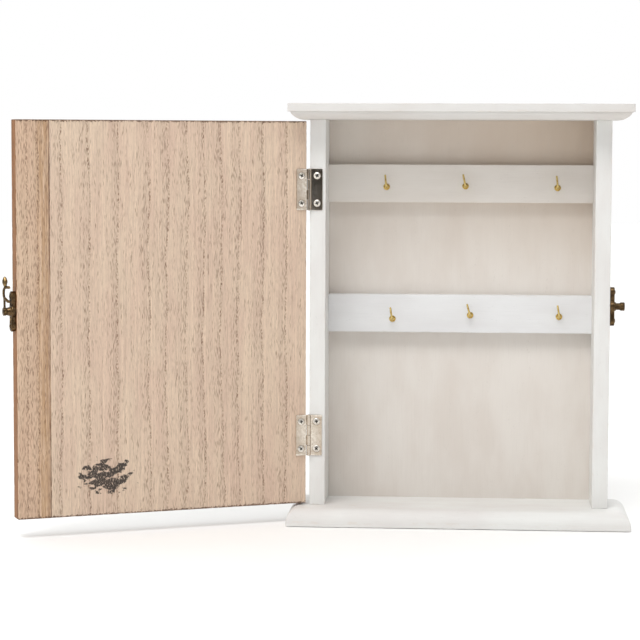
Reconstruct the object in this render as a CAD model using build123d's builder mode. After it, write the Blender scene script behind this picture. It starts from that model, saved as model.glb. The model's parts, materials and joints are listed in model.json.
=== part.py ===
from build123d import *
import os
from math import cos, radians, sin

# Small wooden key cabinet: five nailed and glued boards, a thin back, two hook rails,
# and a door on two butt hinges that is held by a swing-arm latch.
# Origin: middle of the base's underside, below the front plane of the side panels.
# +X is to the right, the front faces -Y, +Z is up. Millimetres.

# ---- driving dimensions -------------------------------------------------------------
overall_height = 306.0
body_width = 218.0          # over the two side panels
interior_depth = 41.0       # front of the side panels to the back panel
back_thickness = 3.0
side_thickness = 11.5
base_thickness = 12.5
top_thickness = 11.5
front_overhang = 25.0       # of the base and the top, past the side panels
base_width = 249.0
top_width = 247.0

rail_height = 28.0
rail_thickness = 10.0
upper_rail_bottom = 233.9
lower_rail_bottom = 137.6

door_width = 215.5
door_height = 279.5
door_thickness = 12.4
door_bottom = 13.8
narrow_stave = 24.0         # width of the door's narrow board, at its free edge
open_angle = 154.55         # how far the door stands open at rest

hinge_length = 30.0
hinge_heights = {"lower": 64.0, "upper": 243.8}
leaf_reach = 9.6            # pin axis to the leaf's outer edge
leaf_thickness = 0.9
knuckle_radius = 1.5
pin_radius = 0.7
pin_x = -109.4              # pin axis, just outside the left side panel

latch_height = 160.0
latch_from_front = 4.9      # lever pivot to the door's inner face, and the catch peg to the
                            # side panel's front

# hook name: (distance to the right of the middle, height, lean to the left in degrees)
hooks = {
    "key_hook_upper_left": (-54.5, 245.4, 5.5),
    "key_hook_upper_centre": (3.7, 246.1, 11.5),
    "key_hook_upper_right": (71.3, 245.1, 7.0),
    "key_hook_lower_left": (-49.7, 147.6, 8.5),
    "key_hook_lower_centre": (7.9, 150.7, 15.0),
    "key_hook_lower_right": (73.4, 150.1, 9.0),
}

# ---- sizes that follow ---------------------------------------------------------------
body_depth = interior_depth + back_thickness
board_depth = front_overhang + body_depth
side_height = overall_height - base_thickness - top_thickness
side_top = base_thickness + side_height
side_x = body_width / 2 - side_thickness / 2
interior_width = body_width - 2 * side_thickness
rail_front = interior_depth - rail_thickness
board_middle_y = body_depth - board_depth / 2
pin_y = -knuckle_radius

# The door's own frame: x runs from the pin to the free edge, y towards the inner face,
# z up. The hinge knuckles touch the plane of the inner face.
swing = radians(open_angle)
door_along = Vector(cos(swing), -sin(swing), 0)
door_frame = Plane(origin=(pin_x, pin_y, 0), x_dir=door_along, z_dir=(0, 0, 1))
inner_face = -knuckle_radius
door_hinge_edge = knuckle_radius
door_free_edge = door_hinge_edge + door_width
latch_reach = 2 * latch_from_front + 2 * knuckle_radius     # pivot to peg, door closed
stave_joint = door_free_edge - narrow_stave

os.makedirs("parts", exist_ok=True)


def save(piece, name):
    """Labels a finished piece and writes its STEP file."""
    piece.part.label = name
    export_step(piece.part, f"parts/{name}.step")


def lathe(points):
    """A solid turned about Z from its half section, given as (radius, height) points."""
    with BuildPart() as turned:
        with BuildSketch(Plane.XZ):
            with BuildLine():
                Polyline(*points, close=True)
            make_face()
        revolve(axis=Axis.Z)
    return turned.part


# ---- fasteners, drawn with the head towards +Z and the seat at Z = 0 -----------------
def screw_blank(head, shank, length, dome):
    """A raised countersunk wood screw without its driving recess."""
    cone = head - shank
    tip = 2 * shank
    crown = [(head * f, dome * (1 - f * f)) for f in (1, 0.85, 0.65, 0.4, 0)]
    return lathe([(0, -length), (shank, tip - length), (shank, -cone), *crown])


def cross_recess(blank, head, dome):
    """The same screw with a cross-shaped driving recess."""
    slot, depth = 0.24 * head, 0.42 * head
    with BuildPart() as recessed:
        add(blank)
        with Locations((0, 0, dome)):
            Box(1.15 * head, slot, 2 * depth, mode=Mode.SUBTRACT)
            Box(slot, 1.15 * head, 2 * depth, mode=Mode.SUBTRACT)
    return recessed.part


def brad(length, radius=0.55, head=0.9, head_height=0.6):
    """A small nail, its head flush with the surface at Z = 0."""
    point = 3 * radius
    return lathe([
        (0, -length), (radius, point - length), (radius, -head_height),
        (head, -head_height), (head, 0), (0, 0),
    ])


def fasteners(piece, places, name):
    """Identical fasteners at several places, saved as one node."""
    with BuildPart() as group:
        with Locations(*places):
            add(piece)
    save(group, name)


hinge_screw_head, hinge_screw_dome = 2.4, 0.35
hinge_screw_blank = screw_blank(hinge_screw_head, 1.1, 9.0, hinge_screw_dome)
hinge_screw = cross_recess(hinge_screw_blank, hinge_screw_head, hinge_screw_dome)
plate_screw_head, plate_screw_dome = 1.9, 0.7
plate_screw_blank = screw_blank(plate_screw_head, 0.85, 10.0, plate_screw_dome)
plate_screw = cross_recess(plate_screw_blank, plate_screw_head, plate_screw_dome)
hanger_screw_blank = screw_blank(1.9, 0.85, 9.0, 0.1)
hanger_screw = cross_recess(hanger_screw_blank, 1.9, 0.1)
board_nail = brad(30.0, 0.7, 1.2, 0.8)
rail_nail = brad(22.0)
panel_tack = brad(9.0, 0.6, 1.8, 0.7)

# ---- carcass -------------------------------------------------------------------------
corner_nails = [(side * side_x, y) for side in (-1, 1) for y in (9.0, 31.0)]
top_nail_places = [Location((x, y, overall_height)) for x, y in corner_nails]
base_nail_places = [Location((x, y, 0), (180, 0, 0)) for x, y in corner_nails]


def rail_nail_places(bottom):
    """Two nails into each end of a hook rail, through the side panels."""
    return [
        Location(
            (side * body_width / 2, rail_front + rail_thickness / 2, bottom + rise),
            (0, side * 90, 0),
        )
        for side in (-1, 1)
        for rise in (7.0, 21.0)
    ]


rails = {"upper": upper_rail_bottom, "lower": lower_rail_bottom}
rail_nails = {name: rail_nail_places(bottom) for name, bottom in rails.items()}

rabbet = 5.5                # how far the back panel is let into each side panel
panel_width = interior_width + 2 * rabbet
tack_x = panel_width / 2 - rabbet / 2
tack_places = [
    Location((side * tack_x, body_depth, z), (-90, 0, 0))
    for side in (-1, 1)
    for z in (28.0, 82.0, 136.0, 190.0, 244.0)
]

fascia_start = 4.8          # height of the top board's flat edge above its underside
quirk = 0.5                 # the small step where the moulding starts
moulding_depth = 6.6
base_round = 9.0
clear = 5.0                 # how far a cutter passes the surface that it cuts


def cornice_section(edge):
    """What the moulding takes off below the fascia, for an edge at that distance."""
    foot = (edge - moulding_depth, 0)
    shoulder = (edge - quirk, fascia_start)
    belly = (edge - 0.43 * moulding_depth, 0.33 * fascia_start)
    with BuildSketch() as section:
        with BuildLine():
            ThreePointArc(foot, belly, shoulder)
            Polyline(
                shoulder,
                (edge + clear, fascia_start),
                (edge + clear, -clear),
                (foot[0], -clear),
                foot,
            )
        make_face()
    return section.sketch


def base_section(edge):
    """What the rounding takes off the base's upper edge, for an edge at that distance."""
    with BuildSketch() as section:
        with Locations((edge - base_round, base_thickness - base_round)):
            Rectangle(base_round + clear, base_round + clear, align=Align.MIN)
            Circle(base_round, mode=Mode.SUBTRACT)
    return section.sketch


def moulded_board(width, thickness, bottom, section_of, nail_places):
    """A board with a moulding along its front and both ends, square at the back."""
    ends = Plane(origin=(0, 0, bottom), x_dir=(1, 0, 0), z_dir=(0, -1, 0))
    front = Plane(origin=(0, 0, bottom), x_dir=(0, -1, 0), z_dir=(-1, 0, 0))
    with BuildPart() as board:
        with Locations((0, board_middle_y, bottom)):
            Box(width, board_depth, thickness, align=(Align.CENTER, Align.CENTER, Align.MIN))
        with BuildSketch(ends):
            add(section_of(width / 2))
            mirror(about=Plane.YZ)
        extrude(amount=board_depth, both=True, mode=Mode.SUBTRACT)
        with BuildSketch(front):
            add(section_of(front_overhang))
        extrude(amount=width, both=True, mode=Mode.SUBTRACT)
        with Locations(*nail_places):
            add(board_nail, mode=Mode.SUBTRACT)
    return board


top_board = moulded_board(
    top_width, top_thickness, side_top, cornice_section, top_nail_places
)
save(top_board, "top_board")
base_board = moulded_board(base_width, base_thickness, 0, base_section, base_nail_places)
save(base_board, "base_board")

# ---- hinges --------------------------------------------------------------------------
# A leaf lies in its own frame: the pin is the Z axis, the leaf reaches out along +X, and
# the wood that it is screwed to starts at Y = knuckle_radius. Turned upside down, the
# same leaf fits the other side, because its knuckles are the first and the third of four.
knuckle = hinge_length / 4
knuckle_gap = 0.1           # between a knuckle's end and the next
notch_gap = 0.3             # between a knuckle and the other leaf's edge
running_gap = 0.05          # between the pin and the door leaf's knuckles
leaf_screw_x = 5.6
leaf_screw_rise = 10.0
leaf_screw_places = [
    Location((leaf_screw_x, knuckle_radius - leaf_thickness, z), (90, 0, 0))
    for z in (-leaf_screw_rise, leaf_screw_rise)
]
frame_hinge_planes = {
    name: Plane(origin=(pin_x, pin_y, z), x_dir=(1, 0, 0), z_dir=(0, 0, 1))
    for name, z in hinge_heights.items()
}
door_hinge_planes = {
    name: Plane(origin=(pin_x, pin_y, z), x_dir=door_along, z_dir=(0, 0, -1))
    for name, z in hinge_heights.items()
}


def on_planes(planes, places):
    """The places, given in a plane's frame, for each of the planes."""
    return [plane.location * place for plane in planes for place in places]


def hinge_leaf(plane, bore):
    """One leaf with its two knuckles."""
    upright = (Align.CENTER, Align.CENTER, Align.MIN)
    with BuildPart(plane) as leaf:
        with BuildSketch(plane.offset(-hinge_length / 2)):
            with Locations((0, knuckle_radius)):
                Rectangle(leaf_reach, leaf_thickness, align=(Align.MIN, Align.MAX))
        extrude(amount=hinge_length)
        for index in range(4):
            start = index * knuckle - hinge_length / 2
            if index % 2 == 0:
                with Locations((0, 0, start + knuckle_gap / 2)):
                    Cylinder(knuckle_radius, knuckle - knuckle_gap, align=upright)
            else:
                notch_start = start - knuckle_gap / 2
                with Locations((0, 0, notch_start)):
                    Cylinder(
                        knuckle_radius + notch_gap,
                        knuckle + knuckle_gap,
                        align=upright,
                        mode=Mode.SUBTRACT,
                    )
        Cylinder(bore, 2 * hinge_length, mode=Mode.SUBTRACT)
        with Locations(*leaf_screw_places):
            add(hinge_screw_blank, mode=Mode.SUBTRACT)
    return leaf


pin_half = hinge_length / 2
pin_dome = 0.35             # the pin's ends are peened over
hinge_pin = lathe([
    (0, -pin_half - pin_dome), (0.6 * pin_radius, -pin_half - 0.7 * pin_dome),
    (pin_radius, -pin_half), (pin_radius, pin_half),
    (0.6 * pin_radius, pin_half + 0.7 * pin_dome), (0, pin_half + pin_dome),
])
for name, z in hinge_heights.items():
    save(hinge_leaf(frame_hinge_planes[name], pin_radius), f"hinge_{name}_frame_leaf")
    save(hinge_leaf(door_hinge_planes[name], pin_radius + running_gap), f"hinge_{name}_door_leaf")
    fasteners(hinge_pin, [Location((pin_x, pin_y, z))], f"hinge_{name}_pin")
    frame_places = on_planes([frame_hinge_planes[name]], leaf_screw_places)
    door_places = on_planes([door_hinge_planes[name]], leaf_screw_places)
    fasteners(hinge_screw, frame_places, f"hinge_{name}_frame_screws")
    fasteners(hinge_screw, door_places, f"hinge_{name}_door_screws")
frame_screw_places = on_planes(frame_hinge_planes.values(), leaf_screw_places)
door_screw_places = on_planes(door_hinge_planes.values(), leaf_screw_places)

# ---- swing-arm latch -----------------------------------------------------------------
# Both plates are drawn with X towards the cabinet's back, as it is with the door closed,
# Y up and Z out of the surface that they are screwed to.
latch_origin = door_frame.from_local_coords(
    Vector(door_free_edge, inner_face - latch_from_front, latch_height)
)
latch_plane = Plane(origin=latch_origin, x_dir=door_frame.y_dir, z_dir=door_along)
catch_plane = Plane(
    origin=(body_width / 2, latch_from_front, latch_height),
    x_dir=(0, 1, 0),
    z_dir=(1, 0, 0),
)
plate_height = 3.4
plate_middle_radius = 4.7
plate_lobe_radius = 3.8
plate_lobe_rise = 10.4
plate_screw_places = [
    Location((0, rise, plate_height)) for rise in (-plate_lobe_rise, plate_lobe_rise)
]
back_head = [(0, 0), (2.2, 0), (2.2, 0.8)]      # rivet head let into a plate's back
boss_top = 6.2
lever_bottom, lever_top = 6.4, 7.9
rivet_radius = 1.4
rivet = lathe([
    *back_head, (rivet_radius, 0.8), (rivet_radius, 8.0), (3.0, 8.0),
    (3.0, 8.3), (2.5, 8.7), (1.5, 8.95), (0, 9.0),
])
peg_waist = 2.5
peg_radius = 3.1
peg = lathe([
    *back_head, (1.6, 0.8), (1.6, plate_height), (3.3, plate_height), (3.3, 3.9),
    (peg_waist, 4.7), (peg_waist, 7.0), (peg_radius, 7.9), (peg_radius, 10.3),
    (2.7, 10.7), (0, 10.8),
])


def fitting_plate(plane, boss_section, rivet_shape):
    """A cast plate: a round middle, a lobe at each end, and scalloped edges between."""
    with BuildPart(plane) as plate:
        with BuildSketch(plane) as outline:
            Circle(plate_middle_radius)
            Rectangle(5.6, 2 * plate_lobe_rise)
            with Locations((0, plate_lobe_rise), (0, -plate_lobe_rise)):
                Circle(plate_lobe_radius)
            fillet(outline.vertices(), radius=1.2)
        extrude(amount=plate_height)
        fillet(plate.faces().sort_by(Axis(plane.origin, plane.z_dir))[-1].edges(), radius=0.9)
        if boss_section:
            add(lathe(boss_section))
        add(rivet_shape, mode=Mode.SUBTRACT)
        with Locations(*plate_screw_places):
            add(plate_screw_blank, mode=Mode.SUBTRACT)
    return plate


boss = [(0, 2.0), (3.7, 2.0), (3.7, plate_height), (2.5, boss_top), (0, boss_top)]
save(fitting_plate(latch_plane, boss, rivet), "latch_plate")
save(fitting_plate(catch_plane, None, peg), "catch_plate")
fasteners(rivet, [latch_plane.location], "latch_pivot")
fasteners(peg, [catch_plane.location], "catch_peg")
latch_screw_places = on_planes([latch_plane], plate_screw_places)
catch_screw_places = on_planes([catch_plane], plate_screw_places)
fasteners(plate_screw, latch_screw_places, "latch_plate_screws")
fasteners(plate_screw, catch_screw_places, "catch_plate_screws")

# The lever stands up from its pivot. Its claw is open on the side that comes down on
# the peg, along the circle that the peg follows about the pivot.
claw_radius = peg_waist + 0.3
claw_wall = 1.3
tab_middle = 20.8
with BuildPart(latch_plane) as latch_lever:
    with BuildSketch(latch_plane.offset(lever_bottom)) as lever_outline:
        Circle(2.9)
        with Locations((-0.6, latch_reach / 2)):
            Rectangle(2.6, latch_reach)
        with Locations((0, latch_reach)):
            Circle(claw_radius + claw_wall)
        with BuildSketch(mode=Mode.SUBTRACT):
            Circle(latch_reach + claw_radius)
            Circle(latch_reach - claw_radius, mode=Mode.SUBTRACT)
            with Locations((-latch_reach, 0)):
                Rectangle(2 * latch_reach, 4 * latch_reach, mode=Mode.SUBTRACT)
        with Locations((0, latch_reach)):
            Circle(claw_radius, mode=Mode.SUBTRACT)
        with Locations((0, latch_reach + claw_radius + claw_wall)):
            Rectangle(1.8, 2.4)
    extrude(amount=lever_top - lever_bottom)
    Cylinder(rivet_radius + running_gap, 40, mode=Mode.SUBTRACT)
    with BuildSketch(latch_plane.offset(5.9)):
        with Locations((0, tab_middle)):
            Ellipse(3.0, 3.7)
    extrude(amount=2.4)
save(latch_lever, "latch_lever")

# ---- door ----------------------------------------------------------------------------
door_holes = {
    "door_board_wide": (door_hinge_edge, stave_joint, hinge_screw_blank, door_screw_places),
    "door_board_narrow": (stave_joint, door_free_edge, plate_screw_blank, latch_screw_places),
}
for name, (near, far, blank, places) in door_holes.items():
    with BuildPart() as door_board:
        with BuildSketch(door_frame.offset(door_bottom)):
            with Locations((near, inner_face)):
                Rectangle(far - near, door_thickness, align=(Align.MIN, Align.MAX))
        extrude(amount=door_height)
        with Locations(*places):
            add(blank, mode=Mode.SUBTRACT)
    save(door_board, name)

# ---- wall hangers: keyhole plates let into the back, screwed through it to the rail --
hanger_x = 80.0
hanger_middle = upper_rail_bottom + rail_height / 2
hanger_size = (12.0, 25.0)
hanger_thickness = 1.0
keyhole_radius, keyhole_slot = 3.4, 1.8
keyhole_drop, keyhole_rise = 3.2, 3.6
pocket_depth = 8.0
hanger_planes = {
    "wall_hanger_left": Plane(
        origin=(-hanger_x, body_depth, hanger_middle), x_dir=(-1, 0, 0), z_dir=(0, 1, 0)
    ),
    "wall_hanger_right": Plane(
        origin=(hanger_x, body_depth, hanger_middle), x_dir=(-1, 0, 0), z_dir=(0, 1, 0)
    ),
}
hanger_screw_places = on_planes(
    hanger_planes.values(), [Location((0, rise, 0)) for rise in (-9.5, 9.5)]
)
for name, plane in hanger_planes.items():
    with BuildPart() as wall_hanger:
        with BuildSketch(plane):
            RectangleRounded(*hanger_size, radius=2.0)
            with Locations((0, -keyhole_drop)):
                Circle(keyhole_radius, mode=Mode.SUBTRACT)
            with Locations((0, (keyhole_rise - keyhole_drop) / 2)):
                SlotCenterToCenter(
                    keyhole_rise + keyhole_drop, 2 * keyhole_slot, rotation=90, mode=Mode.SUBTRACT
                )
        extrude(amount=-hanger_thickness)
        with Locations(*hanger_screw_places):
            add(hanger_screw_blank, mode=Mode.SUBTRACT)
    save(wall_hanger, name)
fasteners(hanger_screw, hanger_screw_places, "wall_hanger_screws")

with BuildPart() as hanger_recesses:
    for plane in hanger_planes.values():
        with BuildSketch(plane):
            RectangleRounded(*hanger_size, radius=2.0)
        extrude(amount=-hanger_thickness)
        with BuildSketch(plane):
            SlotCenterToCenter(keyhole_rise + keyhole_drop, 8.4, rotation=90)
        extrude(amount=-pocket_depth)
    with Locations(*hanger_screw_places):
        add(hanger_screw_blank)

with BuildPart() as back_panel:
    with Locations((0, interior_depth, base_thickness)):
        Box(panel_width, back_thickness, side_height, align=(Align.CENTER, Align.MIN, Align.MIN))
    add(hanger_recesses, mode=Mode.SUBTRACT)
    with Locations(*tack_places):
        add(panel_tack, mode=Mode.SUBTRACT)
save(back_panel, "back_panel")

# ---- side panels ---------------------------------------------------------------------
side_screws = {"left": (-1, hinge_screw_blank, frame_screw_places),
               "right": (1, plate_screw_blank, catch_screw_places)}
for name, (side, blank, places) in side_screws.items():
    with BuildPart() as side_panel:
        with Locations((side * side_x, 0, base_thickness)):
            Box(side_thickness, body_depth, side_height, align=(Align.CENTER, Align.MIN, Align.MIN))
        with Locations((0, interior_depth, base_thickness)):
            Box(panel_width, back_thickness, side_height,
                align=(Align.CENTER, Align.MIN, Align.MIN), mode=Mode.SUBTRACT)
        with Locations(*top_nail_places, *base_nail_places):
            add(board_nail, mode=Mode.SUBTRACT)
        with Locations(*rail_nails["upper"], *rail_nails["lower"]):
            add(rail_nail, mode=Mode.SUBTRACT)
        with Locations(*tack_places):
            add(panel_tack, mode=Mode.SUBTRACT)
        with Locations(*places):
            add(blank, mode=Mode.SUBTRACT)
    save(side_panel, f"side_panel_{name}")

fasteners(board_nail, top_nail_places, "top_board_nails")
fasteners(board_nail, base_nail_places, "base_board_nails")
fasteners(rail_nail, rail_nails["upper"] + rail_nails["lower"], "hook_rail_nails")
fasteners(panel_tack, tack_places, "back_panel_tacks")

# ---- key hooks: a shouldered screw hook, its wire bent square and pointing up --------
wire_radius = 0.72
hook_reach = 8.0            # rail face to the middle of the upright wire
hook_rise = 9.2
hook_bend = 2.0
shank_radius = 0.9
shank_length = 8.5
collar = [(2.45, 0), (2.45, 0.35), (2.1, 0.75), (1.3, 1.0), (0, 1.05)]
hook_shank = lathe([(0, -shank_length), (shank_radius, 1.5 - shank_length), (shank_radius, 0), (0, 0)])
with BuildPart() as key_hook:
    add(hook_shank)
    add(lathe([(0, 0), *collar]))
    with BuildLine(Plane.YZ) as wire_line:
        Line((0, 0), (0, hook_reach - hook_bend))
        JernArc((0, hook_reach - hook_bend), (0, 1), hook_bend, -90)
        Line((hook_bend, hook_reach), (hook_rise, hook_reach))
    with BuildSketch(Plane.XY):
        Circle(wire_radius)
    sweep(path=wire_line.line)
    wire_end = key_hook.faces().sort_by(Axis.Y)[-1]
    chamfer(wire_end.edges(), length=0.25)

out_of_rail = Plane(origin=(0, rail_front, 0), x_dir=(1, 0, 0), z_dir=(0, -1, 0))
hook_places = {
    name: out_of_rail.location * Location((x, z, 0), (0, 0, lean))
    for name, (x, z, lean) in hooks.items()
}
for name, place in hook_places.items():
    fasteners(key_hook.part, [place], name)

for name, bottom in rails.items():
    with BuildPart() as hook_rail:
        with Locations((0, rail_front, bottom)):
            Box(interior_width, rail_thickness, rail_height,
                align=(Align.CENTER, Align.MIN, Align.MIN))
        with Locations(*rail_nails[name]):
            add(rail_nail, mode=Mode.SUBTRACT)
        with Locations(*[place for hook, place in hook_places.items() if name in hook]):
            add(hook_shank, mode=Mode.SUBTRACT)
        add(hanger_recesses, mode=Mode.SUBTRACT)
    save(hook_rail, f"hook_rail_{name}")
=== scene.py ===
import json
from math import asin, atan2, cos, hypot, pi, radians, sin, sqrt

import bmesh
import bpy
from mathutils import Matrix, Vector, noise


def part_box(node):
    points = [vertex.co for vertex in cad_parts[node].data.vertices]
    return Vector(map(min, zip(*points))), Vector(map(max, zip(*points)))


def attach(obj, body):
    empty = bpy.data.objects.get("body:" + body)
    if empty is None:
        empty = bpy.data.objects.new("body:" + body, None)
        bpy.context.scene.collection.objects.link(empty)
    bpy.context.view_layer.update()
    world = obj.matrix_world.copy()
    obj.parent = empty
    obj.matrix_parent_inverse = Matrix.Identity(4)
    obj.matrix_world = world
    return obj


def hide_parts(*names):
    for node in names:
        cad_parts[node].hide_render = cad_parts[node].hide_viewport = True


# The visual model of a small white-washed key cabinet with its door open. The fixed
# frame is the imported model. Shapes are drawn in millimetres and turned into metres when
# a piece is finished. Positions come from the frame's nodes and joints.

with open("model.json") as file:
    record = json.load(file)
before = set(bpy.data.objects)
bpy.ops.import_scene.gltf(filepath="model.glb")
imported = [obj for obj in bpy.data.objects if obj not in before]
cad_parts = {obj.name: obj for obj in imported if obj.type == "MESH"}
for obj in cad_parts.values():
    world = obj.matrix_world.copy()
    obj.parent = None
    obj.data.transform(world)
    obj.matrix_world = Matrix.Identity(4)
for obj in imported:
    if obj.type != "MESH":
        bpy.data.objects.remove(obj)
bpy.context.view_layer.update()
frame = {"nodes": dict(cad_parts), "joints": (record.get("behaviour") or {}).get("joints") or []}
nodes = frame["nodes"]
joints = {joint["name"]: joint for joint in frame["joints"]}
scene = bpy.context.scene
MM = 0.001
TO_METRES = Matrix.Scale(MM, 4)


# ---- places ----
def box(node):
    """A node's lowest and highest corner, in mm."""
    low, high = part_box(node)
    return low / MM, high / MM


def span(points):
    """The lowest and highest corner of the box round some points."""
    columns = list(zip(*points))
    return Vector(map(min, columns)), Vector(map(max, columns))


def middle(node):
    low, high = box(node)
    return (low + high) / 2


def placed(origin, x_axis, z_axis):
    """The frame, in mm, that has this origin, x axis and z axis."""
    x_axis, z_axis = Vector(x_axis).normalized(), Vector(z_axis).normalized()
    turn = Matrix((x_axis, z_axis.cross(x_axis), z_axis)).transposed().to_4x4()
    return Matrix.Translation(origin) @ turn


def spread(bm):
    """The groups of vertices of a mesh's separate solids."""
    left = set(bm.verts)
    while left:
        group, edge_of_group = set(), {left.pop()}
        while edge_of_group:
            vert = edge_of_group.pop()
            group.add(vert)
            around = {edge.other_vert(vert) for edge in vert.link_edges}
            edge_of_group |= around - group
        left -= group
        yield group


def solids(node):
    """The (lowest corner, highest corner) of each separate solid of a node, in mm."""
    bm = bmesh.new()
    bm.from_mesh(nodes[node].data)
    bmesh.ops.remove_doubles(bm, verts=bm.verts, dist=1e-6)
    corners = [span([vert.co / MM for vert in group]) for group in spread(bm)]
    bm.free()
    return sorted(corners, key=lambda pair: tuple(round(value, 2) for value in pair[0]))


UP = Vector((0, 0, 1))
pin = Vector(joints["door_hinge"]["pos_m"]) / MM
pivot = Vector(joints["latch_lever_pivot"]["pos_m"]) / MM
door_along = -Vector(joints["latch_lever_pivot"]["axis"])
door_frame = placed((pin.x, pin.y, 0), door_along, UP)
door_out = UP.cross(door_along)
latch_frame = placed(pivot, door_out, door_along)
catch_middle = middle("catch_peg")
side_face = box("side_panel_right")[1].x
catch_frame = placed((side_face, catch_middle.y, catch_middle.z), (0, 1, 0), (1, 0, 0))


def door_box(*boards):
    """The lowest and highest corner of door boards in the door's own frame, in mm."""
    inverse = door_frame.inverted()
    return span([
        inverse @ (vert.co / MM) for board in boards for vert in nodes[board].data.vertices
    ])


# ---- shapes ----
def blank():
    """An empty mesh to draw in, with room for a mark on worn edges, and in screw recesses for dirt
    with painted shade.
    """
    bm = bmesh.new()
    bm.verts.layers.float.new("wear")
    return bm


def smoothstep(low, high, value):
    part = min(max((value - low) / (high - low), 0.0), 1.0)
    return part * part * (3 - 2 * part)


def all_round(count):
    """Evenly spaced angles, all the way round."""
    return [2 * pi * step / count for step in range(count)]


def every(degrees, count, start=0):
    """Angles that are this many degrees apart."""
    return [radians(start + degrees * step) for step in range(count)]


def corner_arc(before, corner, after, radius, steps):
    """A rounded corner from one side to the next."""
    start = corner + (before - corner).normalized() * radius
    end = corner + (after - corner).normalized() * radius
    parts = [step / steps for step in range(steps + 1)]
    return [start * (1 - t) ** 2 + corner * 2 * t * (1 - t) + end * t * t for t in parts]


def rectangle(left, low, right, high):
    return [(left, low), (right, low), (right, high), (left, high)]


EDGE_STRIP = 0.8            # width of the strip beside a worn edge


def divided(start, end, spacing):
    """Places between two ends: one close to each end, the others evenly spaced."""
    length = end - start
    if length <= 2.5 * EDGE_STRIP:
        return []
    count = max(1, round((length - 2 * EDGE_STRIP) / spacing))
    step = (length - 2 * EDGE_STRIP) / count
    return [start + EDGE_STRIP + step * index for index in range(count + 1)]


def turn(points, steps):
    """A closed line of points, started this many steps on."""
    return points[steps:] + points[:steps]


def outline(corners, radii, spacing, steps=3):
    """A closed outline, counter-clockwise: (point, belongs to a rounded corner) pairs."""
    corners = [Vector(corner) for corner in corners]
    if not isinstance(radii, (list, tuple)):
        radii = [radii] * len(corners)
    arcs = []
    for before, corner, after, radius in zip(turn(corners, -1), corners, turn(corners, 1), radii):
        arcs.append(corner_arc(before, corner, after, radius, steps) if radius else [corner])
    points = []
    for arc, following, radius in zip(arcs, turn(arcs, 1), radii):
        start, side = arc[-1], following[0] - arc[-1]
        points += [(point, bool(radius)) for point in arc]
        for place in divided(0, side.length, spacing):
            points.append((start + side.normalized() * place, False))
    return points


def soft(points, radius, steps=3):
    """An open line of points with its inner corners rounded."""
    points = [Vector(point) for point in points]
    line = [points[0]]
    for before, corner, after in zip(points, points[1:], points[2:]):
        reach = min(radius, 0.45 * (corner - before).length, 0.45 * (after - corner).length)
        line += corner_arc(before, corner, after, reach, steps)
    return line + [points[-1]]


def outward(points):
    """The outward normals of a closed counter-clockwise line."""
    alongs = [after - before for after, before in zip(turn(points, 1), turn(points, -1))]
    return [Vector((along.y, -along.x)).normalized() for along in alongs]


def bridge(bm, rings, capped=False):
    """Faces between rings that follow one another, and over both ends if it is capped. A
    ring of one vertex closes its end by itself."""
    for lower, upper in zip(rings, rings[1:]):
        count = max(len(lower), len(upper))
        for index in range(count):
            following = (index + 1) % count
            if len(lower) == 1:
                bm.faces.new((lower[0], upper[following], upper[index]))
            elif len(upper) == 1:
                bm.faces.new((lower[index], lower[following], upper[0]))
            else:
                bm.faces.new((lower[index], lower[following], upper[following], upper[index]))
    if capped:
        bm.faces.new(reversed(rings[0]))
        bm.faces.new(rings[-1])


def loft(bm, points, stations, place=Matrix()):
    """A closed outline drawn along Z through (inset, height) stations. Gives its rings."""
    normals = outward(points)
    rings = []
    for inset, height in stations:
        ring = [point - normal * inset for point, normal in zip(points, normals)]
        rings.append([bm.verts.new(place @ Vector((*point, height))) for point in ring])
    bridge(bm, rings, capped=True)
    return rings


def end_stations(radius, steps=3):
    """(inset, distance from the end) of the rounding at the end of a loft."""
    angles = [pi / 2 * step / steps for step in range(steps + 1)]
    return [(radius * (1 - sin(angle)), radius * (1 - cos(angle))) for angle in angles]


def between(start, end, rounding, heights=()):
    """The stations of a loft from start to end, with both its ends rounded."""
    stations = [(inset, start + rise) for inset, rise in rounding]
    stations += [(0, height) for height in heights]
    return stations + [(inset, end - rise) for inset, rise in reversed(rounding)]


def plank(bm, corners, radii, start, end, place=Matrix(), end_radius=0.5, spacing=4.0):
    """A board of this cross-section from start to end, all its edges rounded. Gives its
    edge vertices."""
    shape = outline(corners, radii, spacing)
    rounding = end_stations(end_radius)
    heights = divided(start + end_radius, end - end_radius, spacing)
    stations = between(start, end, rounding, heights)
    rings = loft(bm, [point for point, _ in shape], stations, place)
    count = len(rounding)
    worn = [vert for ring in rings[:count] + rings[-count:] for vert in ring]
    for ring in rings[count:-count]:
        worn += [vert for vert, (_, rounded) in zip(ring, shape) if rounded]
    return worn


def turned(bm, profile, place=Matrix(), sides=48):
    """A solid turned about Z from its (radius, height) half section."""
    rings = []
    for radius, height in profile:
        angles = all_round(sides) if radius > 1e-6 else [0]
        ring = [Vector((radius * cos(angle), radius * sin(angle), height)) for angle in angles]
        rings.append([bm.verts.new(place @ point) for point in ring])
    bridge(bm, rings)


def directions(path):
    """The direction of an open path at each of its points."""
    steps = zip(path[:1] + path, path[1:] + path[-1:])
    return [(after - before).normalized() for before, after in steps]


def tube(bm, path, radii, place=Matrix(), sides=24):
    """A round bar along a path in the YZ plane."""
    side = Vector((1, 0, 0))
    rings = []
    for point, direction, radius in zip(path, directions(path), radii):
        other = direction.cross(side)
        angles = all_round(sides) if radius > 1e-6 else [0]
        ring = [point + (side * cos(angle) + other * sin(angle)) * radius for angle in angles]
        rings.append([bm.verts.new(place @ corner) for corner in ring])
    bridge(bm, rings)


def circle(radius, centre=(0, 0), count=48, start=0.0, end=2 * pi):
    """Points on a circle, or on an arc if it doesn't go all the way round."""
    whole = abs(end - start - 2 * pi) < 1e-9
    steps = count if whole else count - 1
    angles = [start + (end - start) * step / steps for step in range(count)]
    return [Vector((centre[0] + radius * cos(a), centre[1] + radius * sin(a))) for a in angles]


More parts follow.
